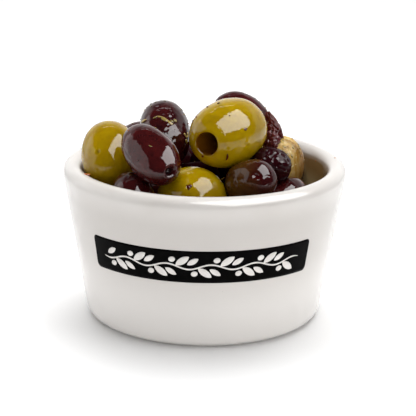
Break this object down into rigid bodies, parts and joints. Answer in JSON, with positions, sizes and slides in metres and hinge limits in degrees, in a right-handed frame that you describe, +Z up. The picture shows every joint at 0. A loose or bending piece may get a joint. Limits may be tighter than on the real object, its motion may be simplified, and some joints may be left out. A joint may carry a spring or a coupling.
{
  "type": "bowl of olives",
  "caption": "Round off-white glazed bowl with a thick rounded rim, heaped with green, ochre and dark purple marinated olives.",
  "frame": {"origin": "middle of the bowl's foot, on the surface that it stands on", "axes": "+Z up out of the bowl, -Y the front, with the black band and the open end of the pitted olive"},
  "size_m": [0.1, 0.1, 0.0802],
  "materials": {
    "glaze": "glossy off-white glaze, with a black glazed band on the front",
    "olives": "wet, oily olive skins, yellow-green, ochre, brown and dark purple, with herb flecks"
  },
  "bodies": {
    "root": {"bowl": "glaze", "olives": "olives"}
  },
  "joints": []
}
